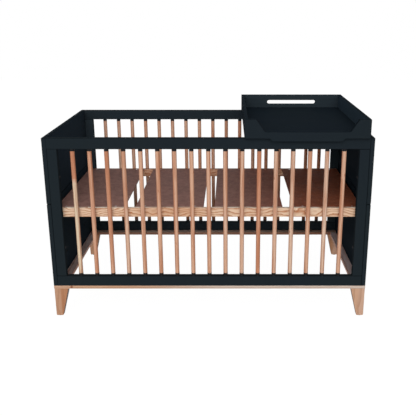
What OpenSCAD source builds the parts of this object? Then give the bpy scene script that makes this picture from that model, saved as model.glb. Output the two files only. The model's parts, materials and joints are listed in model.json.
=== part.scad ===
// Convertible crib with a lift-off changing tray.
// Two black ladder frames with wooden bars stand between two black end panels that are split at a seam.
// The body stands on a wooden plinth with four tapered legs, and carries a mattress base of four panels.
// Length along X, depth along Y with the front towards -Y, and the floor at Z = 0.

/* [Body] */
// Length over the end panels
crib_length = 1345; // [1200:1:1500]
// Depth over the front and rear frames
crib_depth = 744; // [660:1:860]
// Height of the black body above the plinth
body_h = 646; // [600:1:720]
// Thickness of the end panels
end_t = 18; // [17:0.5:24]
// Height of the upper half of an end panel
end_upper_h = 279; // [240:1:290]
// Chamfer on both edges of the seam between the halves
seam_chamfer = 2; // [0.5:0.5:4]

/* [Ladder frames] */
// Thickness of the rails and stiles
frame_t = 22; // [20:0.5:30]
// Height of the top and bottom rails
rail_h = 46; // [40:1:60]
// Width of the stiles
stile_w = 42; // [36:1:60]
// Diameter of the bars
bar_d = 18; // [16:0.5:20]
// Number of bars in each frame
bar_count = 17; // [15:1:19]
// Diameter of the tenons at the ends of a bar
tenon_d = 12; // [8:0.5:13]
// Length of a tenon in its rail
tenon_l = 15; // [8:0.5:16]
// Height of the caps under the lower ends of the bars
low_ferrule_h = 12; // [5:0.5:20]
// Height of the caps over the upper ends of the bars
high_ferrule_h = 9; // [5:0.5:20]
// How far a cap stands out beyond its bar
ferrule_lip = 0.3; // [0:0.1:1]

/* [Plinth and legs] */
// Thickness of the plinth
plinth_t = 14; // [12:0.5:24]
// Width of the front and rear plinth rails
plinth_long_w = 56; // [42:1:70]
// Width of the side plinth rails
plinth_side_w = 50; // [40:1:80]
// Height of the plinth's underside above the floor
leg_h = 129; // [90:1:180]
// Inset of the legs from the outer faces of the plinth
leg_inset = 1; // [0:0.5:4]
// Width of a leg at its top
leg_top_w = 60; // [45:1:80]
// Width of a leg at its foot
leg_foot_w = 30; // [24:1:40]
// Depth of a leg at its top
leg_top_d = 40; // [34:1:42]
// Depth of a leg at its foot
leg_foot_d = 22; // [20:1:32]
// Rounding of a leg's foot
leg_foot_r = 5; // [1:0.5:8]
// Diameter of the glides under the legs
glide_d = 15; // [10:0.5:18]
// Thickness of the glides
glide_h = 2; // [1:0.5:4]

/* [Mattress base] */
// Depth of the mattress base's top below the seam of the end panels
base_below_seam = 23; // [18:1:40]
// Gap between the mattress base and each end panel
base_end_gap = 11; // [9:0.5:16]
// Gap between the mattress base and each ladder frame
base_side_gap = 3; // [1:0.5:8]
// Height of the base's long rails
base_rail_h = 39; // [36:1:50]
// Thickness of the base's rails
base_rail_t = 18; // [16:0.5:24]
// Width of one hardboard panel
panel_w = 287; // [240:1:310]
// Thickness of the hardboard panels
panel_t = 5; // [3:0.5:6]
// Height and width of the cleats that carry the panels
cleat_w = 20; // [18:0.5:26]
// How far the base goes down to its low setting
base_low_step = 240; // [220:5:250]
// Distance from a panel's side to its screws
panel_screw_inset = 39; // [30:1:60]
// Spacing of the two screws in a cleat
cleat_screw_gap = 115; // [80:5:160]
// How far a cleat screw goes into the rail
cleat_screw_bite = 10; // [6:0.5:14]
// Height of the lower corner dowels above the base's underside
base_dowel_low = 9; // [7:0.5:11]
// Spacing of the two dowels at a corner of the base
base_dowel_gap = 15; // [12:0.5:16]
// Depth of a corner dowel in each rail of the base
base_dowel_reach = 12; // [8:0.5:14]

/* [Base brackets] */
// Width of a bracket
bracket_w = 60; // [50:1:90]
// Thickness of a bracket's steel
bracket_t = 2.5; // [2:0.5:4]
// Reach of a bracket under the base
bracket_reach = 32; // [26:1:40]
// Height of a bracket's upright leg
bracket_h = 40; // [34:1:44]
// Distance from a bracket to the middle of the crib
bracket_y = 200; // [150:5:240]
// Spacing of a bracket's two bolts
bracket_bolt_gap = 34; // [24:1:36]
// Height of a bracket's bolts above the base's underside
bracket_bolt_up = 24; // [18:1:28]

/* [Changing tray] */
// Width of the tray
tray_w = 505; // [440:1:560]
// Height of the tray above the rails
tray_h = 78; // [70:1:110]
// Thickness of the tray's boards
tray_t = 15; // [13:0.5:18]
// Gap between the tray and the end panel beside it
tray_end_gap = 3.5; // [1:0.5:10]
// Gap between the front board's lip and the front rail
tray_lip_gap = 1.5; // [0.5:0.5:4]
// How far the rear board stands in from the rear of the crib
tray_rear_inset = 2; // [0:0.5:6]
// Width of a shoulder of the front board
shoulder_w = 48; // [30:1:70]
// Width of the slope beside a shoulder
slope_w = 34; // [20:1:60]
// Height of the low middle of the front board above the rails
front_low_h = 28; // [24:1:40]
// Drop of the front board's lip below the top of the rails
lip_drop = 12; // [6:1:20]
// Half length of the lip where it meets the board
lip_half = 152; // [120:1:180]
// Sideways lean of the lip's ends
lip_lean = 12; // [6:1:20]
// Rounding of the lip's corners
lip_r = 5; // [2:0.5:6]
// Rounding of the slopes' corners
slope_r = 10; // [4:1:14]
// Rounding of the shoulders' outer corners
shoulder_r = 3; // [1:0.5:6]
// Length of the hand slot in the rear board
slot_l = 244; // [160:1:300]
// Height of the hand slot
slot_h = 19; // [16:1:32]
// Height of the hand slot's middle above the rails
slot_z = 42; // [36:1:50]
// Depth of the stop under the tray
stop_w = 20; // [14:1:30]
// Length of the stop under the tray
stop_l = 400; // [200:5:420]
// Height of the lower dowels of a side board above the rails
tray_dowel_low = 33; // [22:1:40]
// Spacing of the two dowels at each end of a side board
tray_dowel_gap = 25; // [14:1:30]
// Spacing of the dowels along the front and rear of the tray's floor
tray_floor_dowel_gap = 150; // [100:5:180]
// Depth of a dowel in each board of the tray
tray_dowel_reach = 10; // [7:0.5:12]

/* [Fasteners] */
// Diameter of the bolts
bolt_d = 6; // [5:0.5:7]
// Diameter of the bolts' heads
bolt_head_d = 12; // [10:0.5:14]
// Height of the bolts' heads
bolt_head_h = 3; // [2:0.5:4]
// Width across the flats of the socket in a bolt's head
socket_w = 4; // [3:0.5:5]
// Depth of the socket in a bolt's head
socket_h = 1.8; // [1:0.1:1.9]
// Height of the lower stile bolts above the body's underside
low_bolt_z = 174; // [120:1:240]
// Height of the upper stile bolts above the seam
high_bolt_z = 114; // [60:1:180]
// Outside diameter of the threaded inserts
insert_d = 10; // [9:0.5:12]
// Length of the threaded inserts
insert_l = 12; // [9:0.5:13]
// Diameter of the body's dowels
dowel_d = 8; // [6:0.5:9]
// Depth of a dowel in each piece
dowel_reach = 15; // [10:0.5:17]
// Depth of the end dowels in an end panel and in the rail beside it
end_dowel_reach = 11; // [8:0.5:14]
// Distance from a rail's outer edge to the end dowel
end_dowel_inset = 14; // [10:0.5:17]
// Spacing of the two dowels at each end of a stile
stile_dowel_gap = 17; // [14:0.5:20]
// Spacing of the dowels along a seam
seam_dowel_gap = 268; // [200:1:300]
// Diameter of the plinth's and the tray's dowels
small_dowel_d = 6; // [5:0.5:7]
// Spacing of the two dowels at a corner of the plinth
plinth_dowel_gap = 18; // [12:1:22]
// Diameter of the screws
screw_d = 4; // [3:0.5:5]
// Diameter of the screws' heads
screw_head_d = 8; // [7:0.5:9]
// Length of the long screws
long_screw_l = 35; // [30:1:37]
// Length of the panel screws
short_screw_l = 18; // [14:0.5:19]
// Distance from the sides of a leg's top to its screws
leg_screw_inset = 14; // [12:0.5:18]
// Distance from a leg's outer face to its screws
leg_screw_depth = 20; // [16:1:24]
// Spacing of the screws along the front and rear of the plinth
plinth_screw_gap = 322; // [280:1:350]
// Spacing of the two screws at each end of the plinth
end_screw_gap = 372; // [300:1:420]
// Clearance between a fastener or bar and its hole
fit = 0.1; // [0.05:0.05:0.3]

/* [Hidden] */
$fn = 48;
// Overrun of a cut beyond the surface that it opens
over = 1;

// Main planes of the crib
tray_overhang = tray_t + tray_lip_gap;
front_y = (tray_overhang - crib_depth) / 2;
rear_y = front_y + crib_depth;
mid_y = (front_y + rear_y) / 2;
end_x = crib_length / 2;
inner_x = end_x - end_t;
body_z = leg_h + plinth_t;
top_z = body_z + body_h;
seam_z = top_z - end_upper_h;
rail_top_z = body_z + rail_h;
rail_under_z = top_z - rail_h;

// Bars, spaced evenly between the stiles
opening_x = inner_x - stile_w;
bar_gap = (2 * opening_x - bar_count * bar_d) / (bar_count + 1);
bar_pitch = bar_gap + bar_d;
bar_xs = [for (i = [0:bar_count - 1]) (i - (bar_count - 1) / 2) * bar_pitch];
ferrule_d = bar_d + 2 * ferrule_lip;

// Fixings of the ladder frames
frame_mid_ys = [front_y + frame_t / 2, rear_y - frame_t / 2];
stile_bolt_zs = [body_z + low_bolt_z, seam_z + high_bolt_z];
end_dowel_zs = [body_z + end_dowel_inset, top_z - end_dowel_inset];
seam_dowel_ys = [for (s = [-1:1]) mid_y + s * seam_dowel_gap];
bolt_rest = 1; // how far a bolt stops short of the end of its insert
stile_bolt_l = stile_w + insert_l - bolt_rest;

// Mattress base
base_top_z = seam_z - base_below_seam;
base_z = base_top_z - base_rail_h;
base_end_x = inner_x - base_end_gap;
base_front_y = front_y + frame_t + base_side_gap;
base_rear_y = rear_y - frame_t - base_side_gap;
base_inner_x = base_end_x - base_rail_t;
cleat_front_y = base_front_y + base_rail_t;
cleat_rear_y = base_rear_y - base_rail_t;
cleat_z = base_top_z - panel_t;
panel_gap = (2 * base_end_x - 4 * panel_w) / 3;
panel_xs = [for (i = [0:3]) -base_end_x + i * (panel_w + panel_gap)];
cleat_screw_l = cleat_w + cleat_screw_bite;
base_dowel_zs = [base_z + base_dowel_low, base_z + base_dowel_low + base_dowel_gap];

// Brackets under the mattress base
bracket_bolt_z = base_z + bracket_bolt_up;
bracket_bolt_l = bracket_t + insert_l - bolt_rest;
bracket_bolt_ys = [for (s = [-1, 1], t = [-1, 1]) mid_y + s * bracket_y + t * bracket_bolt_gap / 2];
insert_rows = [bracket_bolt_z, bracket_bolt_z - base_low_step];

// Changing tray
tray_x = inner_x - tray_end_gap - tray_w / 2;
tray_front_y = front_y - tray_overhang;
tray_back_y = rear_y - tray_rear_inset;
tray_in_front_y = tray_front_y + tray_t;
tray_in_back_y = tray_back_y - tray_t;
tray_in_half = tray_w / 2 - tray_t;
tray_side_dowel_zs = [top_z + tray_dowel_low, top_z + tray_dowel_low + tray_dowel_gap];
tray_floor_dowel_xs = [for (s = [-1:1]) tray_x + s * tray_floor_dowel_gap];

// Plinth and legs
leg_x = end_x - leg_inset;
leg_y = front_y + leg_inset;
leg_screw_l = long_screw_l + plinth_t;
leg_screw_xs = [leg_x - leg_screw_inset, leg_x - leg_top_w + leg_screw_inset];
plinth_dowel_xs = [for (s = [-1, 1]) end_x - plinth_side_w / 2 + s * plinth_dowel_gap / 2];
plinth_screw_xs = [for (i = [-1.5:1:1.5]) i * plinth_screw_gap];
plinth_screw_ys = [for (s = [-1, 1]) mid_y + s * end_screw_gap / 2];

// Direction of b as seen from a
function toward(a, b) = (b - a) / norm(b - a);

// Arc that rounds the corner b between a and c with radius r
function corner(a, b, c, r, steps = 6) =
    let (u = toward(b, a), v = toward(b, c), half = acos(u * v) / 2,
         mid = b + (u + v) / norm(u + v) * r / sin(half),
         p = b + u * r / tan(half) - mid, q = b + v * r / tan(half) - mid,
         start = atan2(p.y, p.x), turn = atan2(q.y, q.x) - start,
         sweep = turn > 180 ? turn - 360 : turn < -180 ? turn + 360 : turn)
    [for (i = [0:steps]) mid + r * [cos(start + sweep * i / steps), sin(start + sweep * i / steps)]];

// Outline with each corner rounded by its own radius, where 0 leaves it sharp
function rounded(points, radii) =
    let (n = len(points))
    [for (i = [0:n - 1])
        each radii[i] > 0
            ? corner(points[(i + n - 1) % n], points[i], points[(i + 1) % n], radii[i])
            : [points[i]]];

// Box between two opposite corners
module block(low, high) {
    translate(low) cube(high - low);
}

// Solid whose outline is drawn in X and Z and which runs from y0 to y1
module across(y0, y1) {
    translate([0, y1, 0]) rotate([90, 0, 0]) linear_extrude(y1 - y0) children();
}

// Solid whose outline is drawn in Y and Z and which runs from x0 to x1
module along(x0, x1) {
    translate([x0, 0, 0]) rotate([90, 0, 90]) linear_extrude(x1 - x0) children();
}

// Pin from a point towards +X or -X
module pin_x(at, length, diameter) {
    translate(at) rotate([0, 90, 0]) cylinder(h = length, d = diameter, center = true);
}

module pin_y(at, length, diameter) {
    translate(at) rotate([90, 0, 0]) cylinder(h = length, d = diameter, center = true);
}

module pin_z(at, length, diameter) {
    translate(at) cylinder(h = length, d = diameter, center = true);
}

// Countersunk screw that points down from the level of its head
module screw(length, grow = 0) {
    head_h = (screw_head_d - screw_d) / 2;
    translate([0, 0, -length - grow]) cylinder(h = length + grow, d = screw_d + 2 * grow);
    translate([0, 0, -head_h]) cylinder(h = head_h, d1 = screw_d + 2 * grow, d2 = screw_head_d + 2 * grow);
}

// Bolt that points towards +X from the face under its head
module bolt(length, grow = 0) {
    rotate([0, 90, 0]) cylinder(h = length + grow, d = bolt_d + 2 * grow);
    rotate([0, -90, 0]) cylinder(h = bolt_head_h, d1 = bolt_head_d, d2 = bolt_head_d - bolt_head_h);
}

// Hexagonal socket in the head of a bolt
module bolt_socket() {
    translate([-bolt_head_h - over, 0, 0]) rotate([0, 90, 0])
        cylinder(h = socket_h + over, d = socket_w / cos(30), $fn = 6);
}

// Places its children at the right end for side 1 and mirrored at the left end for side -1
module at_end(side) {
    mirror([side < 0 ? 1 : 0, 0, 0]) children();
}

// Places of the fixings. Each module puts its children where the piece and its hole both go.
module at_seam_dowels() {
    for (y = seam_dowel_ys) translate([inner_x + end_t / 2, y, seam_z]) children();
}

module at_stile_bolts(z) {
    for (y = frame_mid_ys) translate([opening_x, y, z]) children();
}

module at_end_dowels(z) {
    for (y = frame_mid_ys) translate([inner_x, y, z]) children();
}

module at_bracket_bolts(z) {
    for (y = bracket_bolt_ys) translate([inner_x - bracket_t, y, z]) children();
}

// Places of the inserts for the stile bolts at height z
module at_stile_inserts(z) {
    for (y = frame_mid_ys) translate([inner_x, y, z]) children();
}

// Places of the inserts for the brackets, in the high and the low setting
module at_bracket_inserts() {
    for (z = insert_rows, y = bracket_bolt_ys) translate([inner_x, y, z]) children();
}

module insert_hole() {
    translate([-over, 0, 0]) rotate([0, 90, 0]) cylinder(h = insert_l + fit + over, d = insert_d + 2 * fit);
}

// Places of the stile dowels at height z, for one end of both frames
module at_stile_dowels(z) {
    for (s = [-1, 1], y = frame_mid_ys)
        translate([inner_x - stile_w / 2 + s * stile_dowel_gap / 2, y, z]) children();
}

module dowel_z(grow = 0) {
    pin_z([0, 0, 0], 2 * (dowel_reach + grow), dowel_d + 2 * grow);
}

module dowel_x(grow = 0) {
    pin_x([0, 0, 0], 2 * (end_dowel_reach + grow), dowel_d + 2 * grow);
}

// One half of an end panel between two levels, with chamfers at the seam
module end_half(z0, z1, chamfer_low, chamfer_high) {
    intersection() {
        across(front_y, rear_y)
            polygon([[inner_x + chamfer_low, z0], [end_x - chamfer_low, z0], [end_x, z0 + chamfer_low],
                     [end_x, z1 - chamfer_high], [end_x - chamfer_high, z1], [inner_x + chamfer_high, z1],
                     [inner_x, z1 - chamfer_high], [inner_x, z0 + chamfer_low]]);
        along(inner_x - over, end_x + over)
            polygon([[front_y + chamfer_low, z0], [rear_y - chamfer_low, z0], [rear_y, z0 + chamfer_low],
                     [rear_y, z1 - chamfer_high], [rear_y - chamfer_high, z1], [front_y + chamfer_high, z1],
                     [front_y, z1 - chamfer_high], [front_y, z0 + chamfer_low]]);
    }
}

module end_lower(side) {
    color([0.12, 0.14, 0.16])
    at_end(side) difference() {
        end_half(body_z, seam_z, 0, seam_chamfer);
        at_seam_dowels() dowel_z(fit);
        at_end_dowels(end_dowel_zs[0]) dowel_x(fit);
        at_stile_inserts(stile_bolt_zs[0]) insert_hole();
        at_bracket_inserts() insert_hole();
        at_end_plinth_screws() screw(long_screw_l, fit);
    }
}

module end_upper(side) {
    color([0.12, 0.14, 0.16])
    at_end(side) difference() {
        end_half(seam_z, top_z, seam_chamfer, 0);
        at_seam_dowels() dowel_z(fit);
        at_end_dowels(end_dowel_zs[1]) dowel_x(fit);
        at_stile_inserts(stile_bolt_zs[1]) insert_hole();
    }
}

// Rail of a ladder frame. The bars and stiles meet it at the level face_z.
module frame_rail(y0, z0, face_z, end_dowel_z) {
    into = face_z > z0 + rail_h / 2 ? -1 : 1;
    color([0.12, 0.14, 0.16])
    difference() {
        block([-inner_x, y0, z0], [inner_x, y0 + frame_t, z0 + rail_h]);
        for (x = bar_xs)
            pin_z([x, y0 + frame_t / 2, face_z], 2 * (tenon_l + fit), tenon_d + 2 * fit);
        for (side = [-1, 1]) at_end(side) {
            at_stile_dowels(face_z) dowel_z(fit);
            at_end_dowels(end_dowel_z) dowel_x(fit);
        }
        if (into < 0) at_long_plinth_screws() screw(long_screw_l, fit);
    }
}

module frame_stile(side, y0) {
    color([0.12, 0.14, 0.16])
    at_end(side) difference() {
        block([opening_x, y0, rail_top_z], [inner_x, y0 + frame_t, rail_under_z]);
        for (z = [rail_top_z, rail_under_z]) at_stile_dowels(z) dowel_z(fit);
        for (z = stile_bolt_zs) at_stile_bolts(z)
            pin_x([stile_w / 2, 0, 0], stile_w + 2 * over, bolt_d + 2 * fit);
    }
}

// Row of bars, each with a tenon at both ends
module bar_row(y0) {
    color([0.82, 0.64, 0.53])
    for (x = bar_xs) translate([x, y0 + frame_t / 2, 0]) {
        translate([0, 0, rail_top_z + low_ferrule_h])
            cylinder(h = rail_under_z - rail_top_z - low_ferrule_h - high_ferrule_h, d = bar_d);
        translate([0, 0, rail_top_z - tenon_l])
            cylinder(h = rail_under_z - rail_top_z + 2 * tenon_l, d = tenon_d);
    }
}

// Ring-shaped cap round a tenon, between a rail and the shoulder of the bar
module ferrule(h) {
    difference() {
        cylinder(h = h, d = ferrule_d);
        translate([0, 0, -over]) cylinder(h = h + 2 * over, d = tenon_d + 2 * fit);
    }
}

module ferrule_row(y0) {
    color([0.09, 0.10, 0.11])
    for (x = bar_xs) translate([x, y0 + frame_t / 2, 0]) {
        translate([0, 0, rail_top_z]) ferrule(low_ferrule_h);
        translate([0, 0, rail_under_z - high_ferrule_h]) ferrule(high_ferrule_h);
    }
}

// Tapered leg near the corner of the plinth, upright on its two outer faces
module leg_blank() {
    intersection() {
        across(leg_y - over, leg_y + leg_top_d + over)
            polygon(rounded([[leg_x, leg_h], [leg_x, glide_h], [leg_x - leg_foot_w, glide_h],
                             [leg_x - leg_top_w, leg_h]], [0, leg_foot_r, leg_foot_r, 0]));
        along(leg_x - leg_top_w - over, leg_x + over)
            polygon([[leg_y, leg_h], [leg_y, glide_h], [leg_y + leg_foot_d, glide_h],
                     [leg_y + leg_top_d, leg_h]]);
    }
}

// Places its children at a corner, which are drawn at the front right
module at_corner(side, rear) {
    at_end(side) translate([0, rear ? 2 * mid_y : 0, 0]) mirror([0, rear ? 1 : 0, 0]) children();
}

module at_leg_screws() {
    for (x = leg_screw_xs) translate([x, leg_y + leg_screw_depth, body_z]) children();
}

module leg(side, rear) {
    color([0.80, 0.64, 0.50])
    at_corner(side, rear) difference() {
        leg_blank();
        at_leg_screws() screw(leg_screw_l, fit);
    }
}

module at_plinth_dowels() {
    for (x = plinth_dowel_xs) translate([x, front_y + plinth_long_w, leg_h + plinth_t / 2]) children();
}

module plinth_dowel(grow = 0) {
    pin_y([0, 0, 0], 2 * (dowel_reach + grow), small_dowel_d + 2 * grow);
}

// Screws that come up through the plinth into the bottom rails and the end panels
module at_long_plinth_screws() {
    for (x = plinth_screw_xs, y = frame_mid_ys)
        translate([x, y, leg_h]) mirror([0, 0, 1]) children();
}

module at_end_plinth_screws() {
    for (y = plinth_screw_ys) translate([inner_x + end_t / 2, y, leg_h]) mirror([0, 0, 1]) children();
}

module plinth_long_rail(rear) {
    y0 = rear ? rear_y - plinth_long_w : front_y;
    color([0.80, 0.64, 0.50])
    difference() {
        block([-end_x, y0, leg_h], [end_x, y0 + plinth_long_w, body_z]);
        for (side = [-1, 1]) at_corner(side, rear) {
            at_leg_screws() screw(leg_screw_l, fit);
            at_plinth_dowels() plinth_dowel(fit);
        }
        at_long_plinth_screws() screw(long_screw_l, fit);
    }
}

module plinth_side_rail(side) {
    color([0.80, 0.64, 0.50])
    at_end(side) difference() {
        block([end_x - plinth_side_w, front_y + plinth_long_w, leg_h],
              [end_x, rear_y - plinth_long_w, body_z]);
        for (rear = [false, true]) at_corner(1, rear) at_plinth_dowels() plinth_dowel(fit);
        at_end_plinth_screws() screw(long_screw_l, fit);
    }
}

module glides() {
    color([0.35, 0.33, 0.31])
    for (side = [-1, 1], rear = [false, true]) at_corner(side, rear)
        translate([leg_x - leg_foot_w / 2, leg_y + leg_foot_d / 2, 0]) cylinder(h = glide_h, d = glide_d);
}

module seam_dowel_set() {
    color([0.86, 0.74, 0.58])
    for (side = [-1, 1]) at_end(side) at_seam_dowels() dowel_z();
}

module frame_dowel_set() {
    color([0.86, 0.74, 0.58])
    for (side = [-1, 1]) at_end(side) {
        for (z = [rail_top_z, rail_under_z]) at_stile_dowels(z) dowel_z();
        for (z = end_dowel_zs) at_end_dowels(z) dowel_x();
    }
}

module plinth_dowel_set() {
    color([0.86, 0.74, 0.58])
    for (side = [-1, 1], rear = [false, true]) at_corner(side, rear) at_plinth_dowels() plinth_dowel();
}

module stile_bolt_set() {
    color([0.25, 0.26, 0.28])
    for (side = [-1, 1], z = stile_bolt_zs) at_end(side) at_stile_bolts(z) difference() {
        bolt(stile_bolt_l);
        bolt_socket();
    }
}

module insert() {
    rotate([0, 90, 0]) difference() {
        cylinder(h = insert_l, d = insert_d);
        translate([0, 0, -over]) cylinder(h = insert_l + 2 * over, d = bolt_d + 2 * fit);
    }
}

module insert_set() {
    color([0.80, 0.68, 0.36])
    for (side = [-1, 1]) at_end(side) {
        for (z = stile_bolt_zs) at_stile_inserts(z) insert();
        at_bracket_inserts() insert();
    }
}

module leg_screw_set() {
    color([0.75, 0.75, 0.77])
    for (side = [-1, 1], rear = [false, true]) at_corner(side, rear) at_leg_screws() screw(leg_screw_l);
}

module plinth_screw_set() {
    color([0.75, 0.75, 0.77]) {
        at_long_plinth_screws() screw(long_screw_l);
        for (side = [-1, 1]) at_end(side) at_end_plinth_screws() screw(long_screw_l);
    }
}

// Steel angle that the mattress base rests on, with its upright leg against the end panel
module bracket() {
    low_z = base_z - bracket_t;
    high_z = low_z + bracket_h;
    difference() {
        across(-bracket_w / 2, bracket_w / 2)
            polygon([[inner_x - bracket_reach, low_z], [inner_x, low_z], [inner_x, high_z],
                     [inner_x - bracket_t, high_z], [inner_x - bracket_t, base_z],
                     [inner_x - bracket_reach, base_z]]);
        for (s = [-1, 1])
            pin_x([inner_x, s * bracket_bolt_gap / 2, bracket_bolt_z], 2 * (bracket_t + over),
                  bolt_d + 2 * fit);
    }
}

module bracket_set() {
    color([0.14, 0.15, 0.16])
    for (side = [-1, 1], s = [-1, 1]) at_end(side) translate([0, mid_y + s * bracket_y, 0]) bracket();
}

module bracket_bolt_set() {
    color([0.25, 0.26, 0.28])
    for (side = [-1, 1]) at_end(side) at_bracket_bolts(bracket_bolt_z) difference() {
        bolt(bracket_bolt_l);
        bolt_socket();
    }
}

// Dowels at the corners of the mattress base, drawn for its right end
module at_base_dowels(y) {
    for (z = base_dowel_zs) translate([base_end_x - base_rail_t / 2, y, z]) children();
}

module base_dowel(grow = 0) {
    pin_y([0, 0, 0], 2 * (base_dowel_reach + grow), dowel_d + 2 * grow);
}

// Places of the screws through each panel and its cleats, from the front or the rear cleat
module at_panel_screws(i, rear) {
    y = rear ? cleat_rear_y - cleat_w / 2 : cleat_front_y + cleat_w / 2;
    for (x = [panel_xs[i] + panel_screw_inset, panel_xs[i] + panel_w - panel_screw_inset])
        translate([x, y, base_top_z]) children();
}

// Screws that hold a cleat to its long rail
module at_cleat_screws(i, rear) {
    y = rear ? cleat_rear_y - cleat_w : cleat_front_y + cleat_w;
    for (s = [-1, 1])
        translate([panel_xs[i] + panel_w / 2 + s * cleat_screw_gap / 2, y, cleat_z - cleat_w / 2])
            rotate([rear ? -90 : 90, 0, 0]) mirror([0, 0, 1]) children();
}

module base_long_rail(rear) {
    y0 = rear ? cleat_rear_y : base_front_y;
    color([0.86, 0.70, 0.53])
    difference() {
        block([-base_end_x, y0, base_z], [base_end_x, y0 + base_rail_t, base_top_z]);
        for (side = [-1, 1]) at_end(side) at_base_dowels(rear ? cleat_rear_y : cleat_front_y) base_dowel(fit);
        for (i = [0:3]) at_cleat_screws(i, rear) screw(cleat_screw_l, fit);
    }
}

module base_end_rail(side) {
    color([0.86, 0.70, 0.53])
    at_end(side) difference() {
        block([base_inner_x, cleat_front_y, base_z], [base_end_x, cleat_rear_y, cleat_z]);
        for (y = [cleat_front_y, cleat_rear_y]) at_base_dowels(y) base_dowel(fit);
    }
}

module base_panel(i) {
    color([0.38, 0.25, 0.21])
    difference() {
        block([panel_xs[i], cleat_front_y + fit, cleat_z],
              [panel_xs[i] + panel_w, cleat_rear_y - fit, base_top_z]);
        for (rear = [false, true]) at_panel_screws(i, rear) screw(short_screw_l, fit);
    }
}

// Short battens on the long rails, one pair under each panel
module cleat_set() {
    color([0.84, 0.70, 0.54])
    for (i = [0:3], rear = [false, true]) {
        x0 = max(panel_xs[i], -base_inner_x);
        x1 = min(panel_xs[i] + panel_w, base_inner_x);
        y0 = rear ? cleat_rear_y - cleat_w : cleat_front_y;
        difference() {
            block([x0, y0, cleat_z - cleat_w], [x1, y0 + cleat_w, cleat_z]);
            at_panel_screws(i, rear) screw(short_screw_l, fit);
            at_cleat_screws(i, rear) screw(cleat_screw_l, fit);
        }
    }
}

module base_dowel_set() {
    color([0.86, 0.74, 0.58])
    for (side = [-1, 1], y = [cleat_front_y, cleat_rear_y]) at_end(side) at_base_dowels(y) base_dowel();
}

module cleat_screw_set() {
    color([0.75, 0.75, 0.77])
    for (i = [0:3], rear = [false, true]) at_cleat_screws(i, rear) screw(cleat_screw_l);
}

module panel_screw_set() {
    color([0.75, 0.75, 0.77])
    for (i = [0:3], rear = [false, true]) at_panel_screws(i, rear) screw(short_screw_l);
}

// Dowels between the side boards and the front or rear board, and between those and the floor
module at_tray_dowels(y) {
    for (side = [-1, 1], z = tray_side_dowel_zs)
        translate([tray_x + side * (tray_w - tray_t) / 2, y, z]) children();
    for (x = tray_floor_dowel_xs) translate([x, y, top_z + tray_t / 2]) children();
}

module tray_dowel(grow = 0) {
    pin_y([0, 0, 0], 2 * (tray_dowel_reach + grow), small_dowel_d + 2 * grow);
}

// Front board with high shoulders, a low middle and a lip that hangs in front of the rail
module tray_front() {
    half = tray_w / 2;
    low_half = half - shoulder_w - slope_w;
    outline = [[-half, 0], [-lip_half, 0], [lip_lean - lip_half, -lip_drop], [lip_half - lip_lean, -lip_drop],
               [lip_half, 0], [half, 0], [half, tray_h], [half - shoulder_w, tray_h], [low_half, front_low_h],
               [-low_half, front_low_h], [shoulder_w - half, tray_h], [-half, tray_h]];
    radii = [shoulder_r, lip_r, lip_r, lip_r, lip_r, shoulder_r,
             shoulder_r, slope_r, slope_r, slope_r, slope_r, shoulder_r];
    color([0.12, 0.14, 0.16])
    difference() {
        translate([tray_x, 0, top_z]) across(tray_front_y, tray_in_front_y) polygon(rounded(outline, radii));
        at_tray_dowels(tray_in_front_y) tray_dowel(fit);
    }
}

module tray_rear() {
    color([0.12, 0.14, 0.16])
    difference() {
        block([tray_x - tray_w / 2, tray_in_back_y, top_z],
              [tray_x + tray_w / 2, tray_back_y, top_z + tray_h]);
        translate([tray_x, 0, top_z + slot_z]) across(tray_in_back_y - over, tray_back_y + over) {
            square([slot_l - slot_h, slot_h], center = true);
            for (s = [-1, 1]) translate([s * (slot_l - slot_h) / 2, 0]) circle(d = slot_h);
        }
        at_tray_dowels(tray_in_back_y) tray_dowel(fit);
    }
}

module tray_side(side) {
    x0 = tray_x + (side > 0 ? tray_in_half : -tray_w / 2);
    color([0.12, 0.14, 0.16])
    difference() {
        block([x0, tray_in_front_y, top_z], [x0 + tray_t, tray_in_back_y, top_z + tray_h]);
        for (y = [tray_in_front_y, tray_in_back_y]) at_tray_dowels(y) tray_dowel(fit);
    }
}

module floor_of_tray() {
    color([0.12, 0.14, 0.16])
    difference() {
        block([tray_x - tray_in_half, tray_in_front_y, top_z],
              [tray_x + tray_in_half, tray_in_back_y, top_z + tray_t]);
        for (y = [tray_in_front_y, tray_in_back_y]) at_tray_dowels(y) tray_dowel(fit);
    }
}

// Batten under the floor that stops the tray against the inside of the rear rail
module stop_of_tray() {
    y1 = rear_y - frame_t - tray_lip_gap;
    color([0.12, 0.14, 0.16])
    block([tray_x - stop_l / 2, y1 - stop_w, top_z - stop_w], [tray_x + stop_l / 2, y1, top_z]);
}

module tray_dowel_set() {
    color([0.86, 0.74, 0.58])
    for (y = [tray_in_front_y, tray_in_back_y]) at_tray_dowels(y) tray_dowel();
}

end_lower(-1);  // left_end_lower
end_upper(-1);  // left_end_upper
end_lower(1);  // right_end_lower
end_upper(1);  // right_end_upper
frame_rail(front_y, rail_under_z, rail_under_z, end_dowel_zs[1]);  // front_top_rail
frame_rail(front_y, body_z, rail_top_z, end_dowel_zs[0]);  // front_bottom_rail
frame_stile(-1, front_y);  // front_left_stile
frame_stile(1, front_y);  // front_right_stile
frame_rail(rear_y - frame_t, rail_under_z, rail_under_z, end_dowel_zs[1]);  // rear_top_rail
frame_rail(rear_y - frame_t, body_z, rail_top_z, end_dowel_zs[0]);  // rear_bottom_rail
frame_stile(-1, rear_y - frame_t);  // rear_left_stile
frame_stile(1, rear_y - frame_t);  // rear_right_stile
bar_row(front_y);  // front_bars
bar_row(rear_y - frame_t);  // rear_bars
ferrule_row(front_y);  // front_ferrules
ferrule_row(rear_y - frame_t);  // rear_ferrules
plinth_long_rail(false);  // plinth_front_rail
plinth_long_rail(true);  // plinth_rear_rail
plinth_side_rail(-1);  // plinth_left_rail
plinth_side_rail(1);  // plinth_right_rail
leg(-1, false);  // front_left_leg
leg(1, false);  // front_right_leg
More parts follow.
